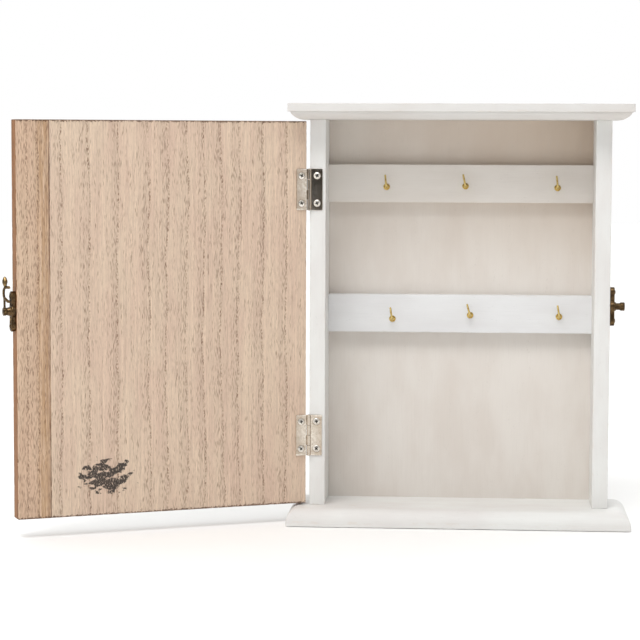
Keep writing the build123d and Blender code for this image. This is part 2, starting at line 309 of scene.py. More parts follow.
def cut_sheet(bm, outlines, bottom, top, bevel, place=Matrix()):
    """A flat sheet with holes and rounded edges, between two heights. The first outline
    is its edge, the others are its holes."""
    curve = bpy.data.curves.new("sheet_outline", "CURVE")
    curve.dimensions = "2D"
    curve.fill_mode = "BOTH"
    curve.extrude = (top - bottom) / 2 - bevel
    curve.bevel_depth = bevel
    curve.bevel_resolution = 2
    curve.offset = -bevel
    for points in outlines:
        spline = curve.splines.new("POLY")
        spline.points.add(len(points) - 1)
        for corner, point in zip(spline.points, points):
            corner.co = (point.x, point.y, 0, 1)
        spline.use_cyclic_u = True
    shape = bpy.data.objects.new("sheet_outline", curve)
    mesh = bpy.data.meshes.new_from_object(shape)
    mesh.transform(place @ Matrix.Translation((0, 0, (top + bottom) / 2)))
    before = set(bm.verts)
    bm.from_mesh(mesh)
    fresh = [vert for vert in bm.verts if vert not in before]
    bmesh.ops.remove_doubles(bm, verts=fresh, dist=1e-4)
    bmesh.ops.dissolve_degenerate(bm, edges=bm.edges, dist=1e-4)
    bpy.data.objects.remove(shape)
    bpy.data.curves.remove(curve)
    bpy.data.meshes.remove(mesh)


def wear_down(bm, worn, depth, chip_size, ripple=0.03):
    """Knocks small irregular chips off the edges, and makes flat faces very slightly
    uneven. The edges are marked in the mesh for the materials."""
    mark = bm.verts.layers.float["wear"]
    bm.normal_update()
    for vert in worn:
        vert[mark] = 1.0
    moves = []
    for vert in bm.verts:
        rough = noise.fractal(vert.co / chip_size, 0.7, 2.1, 4)
        chip = depth * max(0.0, rough - 0.05) if vert[mark] else 0.0
        uneven = ripple * noise.noise(vert.co / 23)
        moves.append(-vert.normal * (chip + ripple / 2 + uneven / 2))
    for vert, move in zip(bm.verts, moves):
        vert.co += move


def new_object(name, bm, materials):
    """The drawn mesh as an object in the scene."""
    mesh = bpy.data.meshes.new(name)
    bm.to_mesh(mesh)
    bm.free()
    for material in materials:
        mesh.materials.append(material)
    made = bpy.data.objects.new(name, mesh)
    scene.collection.objects.link(made)
    return made


def finish_piece(bm, name, node, body, stuff, place=Matrix(), sharp=32):
    """Makes the piece that stands for a node, from the mesh drawn in mm in the frame
    `place`, also in mm. Its stuff is the record's slot, which is not used, and the materials."""
    slot, materials = stuff
    bm.normal_update()
    bm.transform(TO_METRES)
    piece = new_object(name, bm, materials)
    piece.data.shade_smooth()
    piece.data.set_sharp_from_angle(angle=radians(sharp))
    where = place.copy()
    where.translation *= MM
    piece.matrix_world = where
    bpy.context.view_layer.update()
    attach(piece, body)
    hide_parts(node)
    return piece


def even_shading(piece):
    """Keeps large flat faces flat beside their rounded edges."""
    shading = piece.modifiers.new("even_shading", "WEIGHTED_NORMAL")
    shading.keep_sharp = True


# ---- materials ----
def linear(red, green, blue, level=1.0):
    """A display colour, 0 to 255, as a linear one, at this part of its brightness."""
    parts = [part / 255 for part in (red, green, blue)]
    parts = [((part + 0.055) / 1.055) ** 2.4 if part > 0.04 else part / 12.92 for part in parts]
    return [level * part for part in parts] + [1]


class Nodes:
    """A node tree and short ways to build it."""

    def __init__(self, tree):
        self.tree = tree

    def feed(self, socket, value):
        if isinstance(value, bpy.types.NodeSocket):
            self.tree.links.new(value, socket)
        else:
            socket.default_value = value

    def add(self, kind, inputs=(), **settings):
        """A new node. Its inputs are a dict by name or number, or the first ones in order."""
        node = self.tree.nodes.new(kind)
        for setting, value in settings.items():
            setattr(node, setting, value)
        for socket, value in inputs.items() if isinstance(inputs, dict) else enumerate(inputs):
            self.feed(node.inputs[socket], value)
        return node

    def math(self, operation, *values):
        return self.add("ShaderNodeMath", values, operation=operation).outputs[0]

    def minus(self, value, other):
        return self.math("SUBTRACT", value, other)

    def line(self, value, slope, start):
        """The value times the slope, plus the start."""
        return self.math("MULTIPLY_ADD", value, slope, start)

    def times(self, value, *factors):
        for factor in factors:
            value = self.math("MULTIPLY", value, factor)
        return value

    def least(self, values):
        lowest = values[0]
        for value in values[1:]:
            lowest = self.math("MINIMUM", lowest, value)
        return lowest

    def split(self, vector):
        return self.add("ShaderNodeSeparateXYZ", [vector]).outputs

    def ramp(self, value, low, high, start=0.0, end=1.0):
        """Start at low, end at high, and smooth between. High may be below low."""
        if high < low:
            low, high, start, end = high, low, end, start
        inputs = {"Value": value, "From Min": low, "From Max": high, "To Min": start, "To Max": end}
        return self.add("ShaderNodeMapRange", inputs, interpolation_type="SMOOTHSTEP").outputs[0]


class Finish(Nodes):
    """A material. Its textures are laid out in mm, in the piece's own frame."""

    def __init__(self, name, **constants):
        self.material = bpy.data.materials.new(name)
        self.material.use_nodes = True
        super().__init__(self.material.node_tree)
        self.shader = self.tree.nodes["Principled BSDF"]
        for socket, value in constants.items():
            self.shader.inputs[socket.replace("_", " ")].default_value = value
        place = self.add("ShaderNodeTexCoord").outputs["Object"]
        scaled = self.add("ShaderNodeVectorMath", {0: place, "Scale": 1 / MM}, operation="SCALE")
        self.space = scaled.outputs[0]

    def sized(self, sizes):
        """The place divided by sizes in mm, one for each axis."""
        return self.add("ShaderNodeVectorMath", [self.space, sizes], operation="DIVIDE").outputs[0]

    def noise(self, sizes, detail=2.0, rough=0.5):
        inputs = {"Vector": self.sized(sizes), "Scale": 1.0, "Detail": detail, "Roughness": rough}
        return self.add("ShaderNodeTexNoise", inputs).outputs["Fac"]

    def patches(self, sizes, detail, rough, low, high):
        """1 where the noise is above high, 0 where it is below low."""
        return self.ramp(self.noise(sizes, detail, rough), low, high)

    def cells(self, sizes):
        inputs = {"Vector": self.sized(sizes), "Scale": 1.0}
        return self.add("ShaderNodeTexVoronoi", inputs).outputs["Distance"]

    def worn(self):
        """Where the mesh is marked: worn edges, and screw recesses, which the metals darken as dirt
        with painted shade.
        """
        return self.add("ShaderNodeAttribute", attribute_name="wear").outputs["Fac"]

    def mix(self, factor, first, second):
        inputs = {0: factor, 6: first, 7: second}
        return self.add("ShaderNodeMix", inputs, data_type="RGBA").outputs[2]

    def coated(self, colour, *coats):
        """The colour under (colour, amount, strength) coats, each over the one before it."""
        for over, amount, strength in coats:
            colour = self.mix(self.times(amount, strength), colour, over)
        return colour

    def relief(self, *layers):
        """Relief from (height, depth in mm) layers, each on top of the one before it."""
        under = {}
        for height, depth in layers:
            inputs = {"Strength": 1.0, "Distance": depth * MM, "Height": height, **under}
            under = {"Normal": self.add("ShaderNodeBump", inputs).outputs[0]}
        return under["Normal"]

    def done(self, colour, roughness=None, normal=None):
        """The finished material."""
        inputs = {"Base Color": colour, "Roughness": roughness, "Normal": normal}
        for socket, value in inputs.items():
            if value is not None:
                self.feed(self.shader.inputs[socket], value)
        return self.material


def whitewash(name, grain, white, shade, wear=0.16, top_shade=None):
    """Thin white paint over open-grained wood: the grain, the brush and the pores show
    through a little, and the edges are rubbed. Given a top shade colour, the upper part is
    darkened and warmed to it, most of all on the right: painted shade under the top board."""
    paint = Finish(name, IOR=1.45)
    x, y, z = paint.split(paint.space)
    grain_last = {"x": (y, z, x), "z": (x, y, z)}[grain]
    paint.space = paint.add("ShaderNodeCombineXYZ", grain_last).outputs[0]
    fibres = paint.noise((0.45, 0.45, 22), 3, 0.6)
    brush = paint.noise((1.3, 1.3, 70), 2, 0.55)
    patches = paint.noise((26, 26, 70), 3, 0.55)
    few = paint.patches((5, 5, 40), 2, 0.5, 0.5, 0.68)
    pores = paint.times(paint.ramp(paint.cells((0.75, 0.75, 5.0)), 0.22, 0.06), few)
    rub = paint.patches((3, 3, 9), 4, 0.65, 0.5, 0.7)
    colour = paint.mix(paint.ramp(patches, 0.32, 0.72), linear(*white), linear(*shade))
    # Painted shade: the upper part is darkened and warmed towards the given colour, most on the
    # right, as if shaded by the top board.
    if top_shade:
        top_shade_to_right = paint.line(paint.ramp(x, -90, 110), 0.45, 0.2)
        colour = paint.coated(colour, (linear(*top_shade), top_shade_to_right, paint.ramp(z, 150, 290)))
    colour = paint.coated(
        colour,
        (linear(*shade, level=0.86), paint.ramp(fibres, 0.52, 0.8), 0.34),
        (linear(*shade, level=0.66), pores, 0.42),
        (linear(196, 160, 122), paint.times(rub, paint.worn()), wear),
    )
    rough = paint.line(brush, 0.18, 0.5)
    relief = paint.relief((fibres, 0.05), (brush, 0.07), (paint.minus(1.0, pores), 0.08))
    return paint.done(colour, rough, relief)


FAR = 1000.0                # mm, more than any distance on the door
# distances from the door's pin of its strong growth rings, mm
RINGS = (17.3, 35.1, 53.5, 66.5, 80.1, 92.9, 107.5, 121.2, 144.8, 165.2, 185.4, 201.5, 208.6)


def growth_rings(wood, place):
    """How far it is to the nearest growth ring, and from the last ring before the place."""
    beyond = [wood.minus(place, ring) for ring in RINGS]
    apart = [wood.math("ABSOLUTE", distance) for distance in beyond]
    before = [wood.times(wood.math("LESS_THAN", distance, 0.0), FAR) for distance in beyond]
    past = [wood.math("ADD", *parts) for parts in zip(apart, before)]
    return wood.least(apart), wood.least(past)


def ink_smudge(wood, across, along, centre, half_size):
    """How much ink there is in a worn oval smudge."""
    aside = wood.math("DIVIDE", wood.minus(across, centre[0]), half_size[0])
    above = wood.math("DIVIDE", wood.minus(along, centre[1]), half_size[1])
    oval = wood.math("ADD", wood.math("POWER", aside, 2), wood.math("POWER", above, 2))
    blot = wood.minus(wood.noise((8.5, 30, 5.5), 3, 0.55), 0.47)
    blot = wood.line(blot, 3.6, 0.32)
    speckle = wood.patches((0.8, 0.8, 1.6), 3, 0.7, 0.34, 0.46)
    return wood.times(wood.ramp(wood.minus(blot, oval), -0.12, 0.12), speckle, 0.93)


def bare_wood(name, light, warm, pore, ends, ink=None, tint=None, joint=None, open_grain=0.0):
    """Sanded paulownia, upright grain: fine pore dashes everywhere, and lines of coarse
    dark pores along the growth rings. Its sawn ends, at these heights, are rough and dark."""
    wood = Finish(name, IOR=1.4)
    across, _, along = wood.split(wood.space)
    slow = wood.minus(wood.noise((40, 200, 90), 2, 0.5), 0.5)
    quick = wood.minus(wood.noise((7, 200, 11), 2, 0.6), 0.5)
    drift = wood.line(slow, 9.0, across)
    drift = wood.line(quick, 2.6, drift)
    from_ring, past_ring = growth_rings(wood, drift)
    early = wood.ramp(past_ring, 8.5, 0.5)

    tone = wood.noise((18, 60, 80), 3, 0.6)
    fibres = wood.noise((0.42, 0.5, 13), 3, 0.7)
    flecks = wood.noise((0.56, 0.9, 7.0), 3, 0.75)
    bands = wood.noise((1.15, 3, 75), 2, 0.6)
    coats = []
    if tint:
        centre, reach, shade = tint
        apart = wood.math("ABSOLUTE", wood.minus(drift, centre))
        streaky = wood.patches((1.1, 40, 46), 3, 0.6, 0.32, 0.62)
        streak = wood.times(wood.ramp(apart, reach, 0.2 * reach), streaky)
        coats.append((linear(*shade), streak, 0.9))
    if joint:
        apart = wood.minus(across, joint)
        patchy = wood.patches((1.2, 40, 30), 3, 0.6, 0.3, 0.62)
        shadow = wood.times(wood.ramp(apart, 4.6, 0.2), patchy)
        broken = wood.patches((1.0, 40, 14), 3, 0.6, 0.3, 0.55)
        seam = wood.times(wood.ramp(apart, 1.5, 0.4), broken)
        coats += [(linear(150, 112, 82), shadow, 0.8), (linear(96, 68, 50), seam, 0.85)]

    some = wood.line(early, 0.2, wood.noise((2.6, 30, 24), 2, 0.6))
    some = wood.ramp(some, 0.42 - open_grain, 0.7 - open_grain)
    fine = wood.times(wood.ramp(wood.cells((0.55, 0.6, 5.6)), 0.46, 0.14), some)
    broken = wood.patches((6, 60, 9), 3, 0.65, 0.3, 0.66)
    line = wood.times(wood.ramp(from_ring, 1.15, 0.2), broken)
    coarse = wood.times(wood.ramp(wood.cells((0.62, 0.62, 2.2)), 0.6, 0.3), line)
    pale, dull, dark = linear(*light, level=1.16), linear(*warm, level=0.7), linear(*pore)
    coats += [
        (pale, wood.ramp(bands, 0.5, 0.72), 0.6),
        (dull, wood.ramp(bands, 0.48, 0.28), 0.34),
        (pale, wood.ramp(fibres, 0.5, 0.72), 0.62),
        (dull, wood.ramp(fibres, 0.5, 0.28), 0.5),
        (dull, wood.ramp(flecks, 0.5, 0.7), 0.62),
        (dull, early, 0.16),
        (dark, fine, 0.6),
        (dark, coarse, 0.9),
    ]
    colour = wood.mix(wood.ramp(tone, 0.3, 0.7), linear(*light), linear(*warm))
    colour = wood.coated(colour, *coats)

    low, high = ends
    from_end = wood.least([wood.minus(along, low), wood.minus(high, along)])
    ragged = wood.noise((1.1, 1.1, 1.3), 3, 0.7)
    reach = wood.line(ragged, -6.5, from_end)
    scorched = wood.times(wood.ramp(reach, -2.0, -2.7), 0.85)
    colour = wood.mix(scorched, colour, linear(92, 64, 44))
    rough = wood.line(fibres, 0.16, 0.62)
    if ink:
        smudge = ink_smudge(wood, across, along, *ink)
        colour = wood.mix(smudge, colour, linear(30, 27, 27))
        rough = wood.line(smudge, -0.2, rough)
    pits = wood.minus(1.0, wood.math("MAXIMUM", fine, coarse))
    relief = wood.relief((fibres, 0.06), (pits, 0.18), (wood.minus(1.0, scorched), 0.2))
    return wood.done(colour, rough, relief)


def stained_edge(name, light, dark):
    """A sawn edge with a brown wash: streaks along the edge and saw marks across it."""
    edge = Finish(name, IOR=1.42)
    streaks = edge.noise((0.8, 0.8, 40), 4, 0.6)
    blotches = edge.noise((6, 6, 22), 3, 0.6)
    saw = edge.noise((8, 8, 0.55), 2, 0.5)
    rim = edge.patches((1.5, 1.5, 4), 3, 0.6, 0.42, 0.6)
    deep = linear(*dark, level=0.42)
    colour = edge.coated(
        edge.mix(edge.ramp(streaks, 0.3, 0.72), linear(*light), linear(*dark)),
        (deep, edge.ramp(blotches, 0.5, 0.78), 0.55),
        (deep, edge.ramp(edge.cells((0.6, 0.6, 2.6)), 0.4, 0.12), 0.4),
        (deep, edge.times(rim, edge.worn()), 0.7),
    )
    rough = edge.line(blotches, 0.2, 0.5)
    return edge.done(colour, rough, edge.relief((saw, 0.09), (streaks, 0.08)))


def metal(name, bright, dull, rough, grain=(0.5, 0.5, 0.5), relief=0.015, rub=None, **constants):
    """Plated or polished metal: hairlines, small pits, faint stains, and, where the mesh is
    marked in screw recesses, dirt with painted shade. With rub, raised edges are rubbed to that
    colour."""
    alloy = Finish(name, Metallic=1.0, **constants)
    hairlines = alloy.noise(grain, 4, 0.65)
    stains = alloy.noise((3.1, 3.1, 3.1), 4, 0.6)
    pits = alloy.ramp(alloy.cells((0.5, 0.5, 0.5)), 0.16, 0.04)
    dirt_and_recess_shade = alloy.worn()
    coats = [(linear(*dull, level=0.5), pits, 0.5)]
    if rub:
        raised = alloy.ramp(alloy.add("ShaderNodeNewGeometry").outputs["Pointiness"], 0.52, 0.6)
        patchy = alloy.patches((1.4, 1.4, 1.4), 3, 0.6, 0.3, 0.6)
        coats.append((linear(*rub), alloy.times(raised, patchy), 0.75))
    colour = alloy.mix(alloy.ramp(stains, 0.42, 0.75), linear(*bright), linear(*dull))
    # Marked screw recesses go nearly black: painted shade, with some dirt.
    colour = alloy.coated(colour, *coats, (linear(34, 28, 24), dirt_and_recess_shade, 0.92))
    roughness = alloy.line(stains, rough, 0.5 * rough)
    roughness = alloy.line(dirt_and_recess_shade, 0.4, roughness)
    height = alloy.relief((hairlines, relief), (alloy.minus(1.0, pits), 2 * relief))
    return alloy.done(colour, roughness, height)


WHITE, OFF_WHITE = (226, 226, 223), (219, 216, 213)
upright_white = whitewash("whitewash_upright", "z", WHITE, OFF_WHITE)
level_white = whitewash("whitewash_level", "x", WHITE, OFF_WHITE)
rail_white = {
    # The upper rail's white is warmer and a little darker than the lower one's: painted shade under
    # the top of the cabinet.
    "upper": whitewash("whitewash_rail_upper_shaded", "x", (222, 216, 209), (214, 207, 199), 0.1),
    "lower": whitewash("whitewash_rail_lower", "x", (223, 223, 223), (215, 214, 214), 0.1),
}
# The cornice's white is darker and warmer than the sides': painted shade, because the top gets less
# light.
shaded_cornice_white = whitewash("whitewash_cornice_shaded", "x", (218, 216, 213), (210, 205, 200))
# The cream back panel. Its last colour is painted shade over its upper part.
cream_white = whitewash("cream_back", "z", (220, 214, 207), (213, 205, 197), 0.1, (196, 172, 146))
door_low, door_high = door_box("door_board_wide", "door_board_narrow")
door_ends = (door_low.z, door_high.z)
door_wood = bare_wood(
    "bare_wood_wide", (216, 194, 171), (210, 183, 163), (116, 84, 60), door_ends,
    ink=((154.0, 41.6), (25.0, 14.5)),
)
narrow_wood = bare_wood(
    "bare_wood_narrow", (211, 184, 158), (205, 173, 148), (108, 76, 52), door_ends,
    tint=(197.5, 7.0, (172, 134, 92)), joint=door_box("door_board_narrow")[0].x, open_grain=0.12,
)
brown_edge = stained_edge("stained_edge", (158, 106, 58), (124, 80, 40))
nickel = metal(
    "nickel_plate", (184, 170, 154), (160, 144, 126), 0.12,
    grain=(0.3, 0.3, 7.0), relief=0.006, rub=(240, 234, 224), Anisotropic=0.3,
)
screw_steel = metal("screw_steel", (240, 234, 225), (216, 208, 196), 0.3, relief=0.006)
zinc = metal("zinc_plate", (196, 200, 202), (160, 164, 168), 0.3, grain=(0.9, 0.9, 0.9))
nail_steel = metal("nail_steel", (206, 206, 204), (150, 146, 140), 0.26)
brass = metal(
    "polished_brass", (212, 188, 122), (172, 140, 74), 0.16,
    grain=(0.4, 0.4, 0.4), relief=0.006, rub=(244, 222, 158),
)
bronze = metal(
    "antique_bronze", (98, 78, 54), (54, 42, 32), 0.32,
    grain=(0.7, 0.7, 0.7), relief=0.04, rub=(176, 148, 98),
)


# ---- carcass ----
ALONG_X = Matrix(((0, 0, 1), (1, 0, 0), (0, 1, 0))).to_4x4()
CABINET, DOOR, LEVER = "cabinet", "door", "latch_lever"
PAINTED = ("whitewashed_wood", [upright_white])
CASTING = ("antique_bronze", [bronze])
PLATED, PLATED_SCREW = (("nickel_plated_steel", [metal]) for metal in (nickel, screw_steel))
ZINC_PLATED = ("zinc_plated_steel", [zinc])
back_low, back_high = box("back_panel")


def side_panel(name, corners):
    """An upright side board, rabbeted for the back panel."""
    node = f"side_panel_{name}"
    low, high = box(node)
    radii = [0 if abs(corner[0]) == back_high.x else 0.6 for corner in corners]
    bm = blank()
    wear_down(bm, plank(bm, corners, radii, low.z, high.z, end_radius=0.25), 0.35, 2.6)
    even_shading(finish_piece(bm, f"side_board_{name}", node, CABINET, PAINTED))


def side_corners(inner, outer, front, back):
    """The cross-section of the right side board; the left one is its mirror image."""
    return [
        (inner, front), (outer, front), (outer, back),
        (back_high.x, back), (back_high.x, back_low.y), (inner, back_low.y),
    ]


side_low, side_high = box("side_panel_right")
right_corners = side_corners(side_low.x, side_high.x, side_low.y, side_high.y)
side_panel("right", right_corners)
side_panel("left", [(-x, y) for x, y in reversed(right_corners)])


def moulded_board(name, node, profile, edge_heights, paint):
    """A board whose front and ends follow the (inset, height) profile, drawn upwards."""
    low, high = box(node)
    half, depth = high.x, high.y - low.y
    shape = outline(rectangle(low.x, low.y, high.x, high.y), 0.7, 5.0)
    bm = blank()
    rings, worn = [], []
    for inset, height in profile:
        ring = []
        for point, rounded in shape:
            x = point.x * (1 - inset / half)
            y = high.y - (high.y - point.y) * (1 - inset / depth)
            vert = bm.verts.new((x, y, low.z + height))
            ring.append(vert)
            if rounded or any(abs(height - edge) < 0.4 for edge in edge_heights):
                worn.append(vert)
        rings.append(ring)
    bridge(bm, rings, capped=True)
    wear_down(bm, worn, 0.3, 2.8)
    stuff = ("whitewashed_wood", [paint])
    even_shading(finish_piece(bm, name, node, CABINET, stuff, sharp=40))


def rounded_top(thickness, radius=0.5):
    """The end of a profile: a small round and a strip of the upper face."""
    round_over = [(inset, thickness - rise) for inset, rise in reversed(end_stations(radius))]
    return round_over + [(radius + EDGE_STRIP, thickness)]


FASCIA_START, MOULDING, QUIRK = 5.5, 8.2, 2.0
top_thickness = box("top_board")[1].z - box("top_board")[0].z
quarter = every(9, 11)
cornice = [(MOULDING + EDGE_STRIP, 0)]
for angle in quarter:
    rise = (FASCIA_START - 0.3) * (1 - cos(angle) + sin(angle)) / 2
    cornice.append((MOULDING - (MOULDING - QUIRK) * sin(angle), rise))
cornice += [(QUIRK, FASCIA_START), (0.3, FASCIA_START + 0.05), (0.08, FASCIA_START + 0.15)]
cornice += [(0, FASCIA_START + 0.4), (0, 8.0)]
cornice += rounded_top(top_thickness)
moulded_board(
    "cornice_board", "top_board", cornice, (top_thickness, FASCIA_START + 0.5), shaded_cornice_white
)

BASE_ROUND = 9.0
base_thickness = box("base_board")[1].z
plinth = [(1.3, 0), *end_stations(0.5), (0, 1.3)]
for angle in quarter:
    rise = base_thickness - BASE_ROUND * (1 - sin(angle))
    plinth.append((BASE_ROUND * (1 - cos(angle)), rise))
plinth.append((BASE_ROUND + EDGE_STRIP, base_thickness))
moulded_board("plinth_board", "base_board", plinth, (0, base_thickness - BASE_ROUND), level_white)


def hook_rail(name):
    """A rail across the inside, with its grain lying along it."""
    node = f"hook_rail_{name}"
    low, high = box(node)
    corners = rectangle(low.y, low.z, high.y, high.z)
    bm = blank()
    wear_down(bm, plank(bm, corners, 0.5, low.x, high.x, ALONG_X, end_radius=0.15), 0.22, 2.2)
    stuff = ("whitewashed_rail", [rail_white[name]])
    even_shading(finish_piece(bm, f"rail_board_{name}", node, CABINET, stuff))


for rail in ("upper", "lower"):
    hook_rail(rail)

back_panel = nodes["back_panel"]
back_panel.data.materials.clear()
back_panel.data.materials.append(cream_white)
softened = back_panel.modifiers.new("softened_edges", "BEVEL")
softened.width = 0.25 * MM
softened.segments = 2
softened.limit_method = "ANGLE"
softened.angle_limit = radians(50)


# ---- door ----
def door_board(name, node, wood, slot, radii):
    """One of the door's two boards: bare inside, painted outside, stained on its edges."""
    low, high = door_box(node)
    corners = rectangle(low.x, low.y, high.x, high.y)
    bm = blank()
    worn = plank(bm, corners, radii, low.z, high.z, end_radius=0.5, spacing=2.6)
    wear_down(bm, worn, 0.3, 1.1, ripple=0.04)
    bm.normal_update()
    for face in bm.faces:
        facing = face.normal.y
        face.material_index = 2 if abs(facing) < 0.6 else (0 if facing > 0 else 1)
    stuff = (slot, [wood, upright_white, brown_edge])
    even_shading(finish_piece(bm, name, node, DOOR, stuff, door_frame))


door_board(
    "door_plank_wide", "door_board_wide", door_wood, "bare_paulownia", [0.6, 0.25, 0.25, 0.6]
)
door_board(
    "door_plank_narrow", "door_board_narrow", narrow_wood, "bare_paulownia_dark",
    [0.25, 0.6, 0.6, 0.25],
)


# ---- fasteners ----
def cross_screw(bm, place, head, shank, length, dome, turn, sides=72):
    """A raised countersunk wood screw with a cross recess. Its seat is at Z = 0."""
    depth, reach, width, soft_edge = 0.42 * head, 0.62 * head, 0.13 * head, 0.06 * head

    def arm(along, aside):
        end = smoothstep(reach, reach - 0.2 * head, abs(along))
        return end * smoothstep(width + soft_edge, width - soft_edge, abs(aside))

    def top(x, y):
        far = hypot(x, y) / head
        recess = max(arm(x, y), arm(y, x)) * (1 - 0.5 * far)
        return dome * (1 - far ** 2.6) - depth * recess

    rings = []
    below = [(0, -length), (shank, 2 * shank - length), (shank, shank - head), (head, -0.12)]
    for radius, height in below:
        points = [Vector((*point, height)) for point in circle(radius, count=sides)]
        rings.append(points if radius else points[:1])
    for part in [1 - step / 18 for step in range(19)]:
        points = [Vector((*point, top(*point))) for point in circle(head * part, count=sides)]
        rings.append(points if part > 0.01 else points[:1])
    place = place @ Matrix.Rotation(turn, 4, "Z")
    # The cross recess is marked, so that the metal darkens it: dirt with painted shade.
    mark = bm.verts.layers.float["wear"]
    corners = []
    for ring in rings:
        corners.append([bm.verts.new(place @ point) for point in ring])
        for vert, (x, y, height) in zip(corners[-1], ring):
            inside = hypot(x, y) < 0.9 * head and height > -depth
            vert[mark] = smoothstep(0.15, 0.7, max(arm(x, y), arm(y, x))) if inside else 0.0
    bridge(bm, corners)


def screws(name, node, body, stuff, sizes, seats, turns, place=Matrix()):
    """The screws of a node, each with its own turn."""
    bm = blank()
    for seat, turn in zip(seats, turns):
        cross_screw(bm, seat, *sizes, turn=turn)
    finish_piece(bm, name, node, body, stuff, place)


def nail(bm, place, length, shank, head):
    """A nail with a low, slightly dented round head that ends at Z = 0."""
    profile = [
        (0, -length), (shank, 3 * shank - length), (shank, -0.5), (head, -0.45), (head, -0.12),
        (0.9 * head, -0.04), (0.6 * head, 0), (0.25 * head, -0.05), (0, -0.06),
    ]
    turned(bm, profile, place, sides=28)


def nails(name, node, facing, shank, head):
    """The nails of a node. facing gives a nail's direction from its lowest corner."""
    bm = blank()
    for low, high in solids(node):
        direction = Vector(facing(low))
        length = abs((high - low).dot(direction))
        ahead = (low + high) / 2 + direction * length / 2
        across = (0, 1, 0) if abs(direction.y) < 0.5 else (0, 0, 1)
        nail(bm, placed(ahead, across, direction), length, shank, head)
    finish_piece(bm, name, node, CABINET, ("bright_steel_nails", [nail_steel]))


nails("top_nails", "top_board_nails", lambda low: (0, 0, 1), 0.7, 1.2)
nails("base_nails", "base_board_nails", lambda low: (0, 0, -1), 0.7, 1.2)
nails("rail_nails", "hook_rail_nails", lambda low: (1 if low.x > 0 else -1, 0, 0), 0.55, 0.9)
nails("back_tacks", "back_panel_tacks", lambda low: (0, 1, 0), 0.6, 1.75)


# ---- hinges ----
LEAF_START, LEAF_REACH, LEAF_LENGTH, LEAF_THICKNESS = 1.47, 9.6, 30.0, 0.9
KNUCKLE, KNUCKLE_WALL, KNUCKLE_GAP, PIN = 1.48, 0.72, 0.05, 0.7
LAP = 2.4                   # from the pin to where the rolled end runs into the leaf
SEAT = 1.5                  # from the pin to the wood
LEAF_SCREWS = [(5.6, -10.0), (5.6, 10.0)]
SHEET_SHARP = 12            # degrees; keeps the flat of a sheet flat beside its rounded edge
HINGE_SCREW = (2.4, 1.1, 9.0, 0.5)
ON_LEAF = Matrix(((1, 0, 0, 0), (0, 0, -1, SEAT), (0, 1, 0, 0), (0, 0, 0, 1)))


def rolled_section():
    """The end of the sheet, rolled round the pin: a closed outline."""
    start, end = radians(90), radians(392)
    bore = KNUCKLE - KNUCKLE_WALL
    outer, inner = (circle(radius, (0, 0), 40, start, end) for radius in (KNUCKLE, bore))
    return [Vector((LAP, KNUCKLE)), *outer, *reversed(inner), Vector((LAP, bore))]


def hinge_leaf(name, node, body, place):
    """A pressed leaf with two countersunk holes and its two rolled knuckles."""
    bm = blank()
    half = LEAF_LENGTH / 2
    edge = rectangle(LEAF_START, -half, LEAF_REACH, half)
    sheet = [point for point, _ in outline(edge, [0.05, 0.6, 0.6, 0.05], 6.0)]
    holes = [circle(HINGE_SCREW[0] + 0.12, centre)[::-1] for centre in LEAF_SCREWS]
    cut_sheet(bm, [sheet, *holes], 0, LEAF_THICKNESS, 0.13, ON_LEAF)
    for start in (-half, 0):
        low, high = start + KNUCKLE_GAP, start + LEAF_LENGTH / 4 - KNUCKLE_GAP
        loft(bm, rolled_section(), between(low, high, end_stations(0.14, 2)))
    finish_piece(bm, name, node, body, PLATED, place, sharp=SHEET_SHARP)


half_pin = LEAF_LENGTH / 2
pin_profile = [
    (0, -half_pin - 0.35), (0.4, -half_pin - 0.28), (PIN, -half_pin - 0.05), (PIN, -half_pin + 0.3),
    (PIN, half_pin - 0.3), (PIN, half_pin + 0.05), (0.4, half_pin + 0.28), (0, half_pin + 0.35),
]
leaf_seats = [ON_LEAF @ Matrix.Translation((*place, LEAF_THICKNESS)) for place in LEAF_SCREWS]
for hinge, turns in (("upper", (0.35, 1.1)), ("lower", (0.75, 0.2))):
    centre = (pin.x, pin.y, middle(f"hinge_{hinge}_pin").z)
    frame_side, door_side = placed(centre, (1, 0, 0), UP), placed(centre, door_along, -UP)
    sides = (("frame", CABINET, frame_side, turns), ("door", DOOR, door_side, turns[::-1]))
    for side, body, place, _ in sides:
        hinge_leaf(f"{side}_leaf_{hinge}", f"hinge_{hinge}_{side}_leaf", body, place)
    for side, body, place, turned_by in sides:
        name, node = f"{side}_screws_{hinge}", f"hinge_{hinge}_{side}_screws"
        screws(name, node, body, PLATED_SCREW, HINGE_SCREW, leaf_seats, turned_by, place)
    bm = blank()
    turned(bm, pin_profile, sides=32)
    finish_piece(bm, f"pin_{hinge}", f"hinge_{hinge}_pin", CABINET, PLATED, frame_side)


# ---- latch ----
PLATE_HEIGHT, MIDDLE, LOBE, RISE, WAIST = 3.4, 4.7, 3.8, 10.4, 2.8
FIELD, RIM, PAD = 2.6, 0.8, 2.15        # height of the sunk field; radii of the rim and pads
PLATE_SCREW = (1.9, 0.85, 10.0, 0.7)
plate_seats = [Matrix.Translation((0, rise, PLATE_HEIGHT)) for rise in (-RISE, RISE)]


def plate_reach(angle):
    """From the plate's middle to its edge: a round middle, a waist, and a lobe each end."""
    across, up = abs(cos(angle)), abs(sin(angle))
    reach = MIDDLE
    if across * RISE < LOBE:
        reach = max(reach, RISE * up + sqrt(LOBE ** 2 - (across * RISE) ** 2))
    if across > 1e-6 and up > 1e-6:
        reach = max(reach, min(WAIST / across, RISE / up))
    return reach


def plate_outline(sides=180):
    """The plate's edge, with its corners smoothed out."""
    points = []
    for angle in all_round(sides):
        near = [plate_reach(angle + turn) for turn in every(2, 5, -4)]
        reach = sum(near) / len(near)
        points.append(Vector((reach * cos(angle), reach * sin(angle))))
    return points


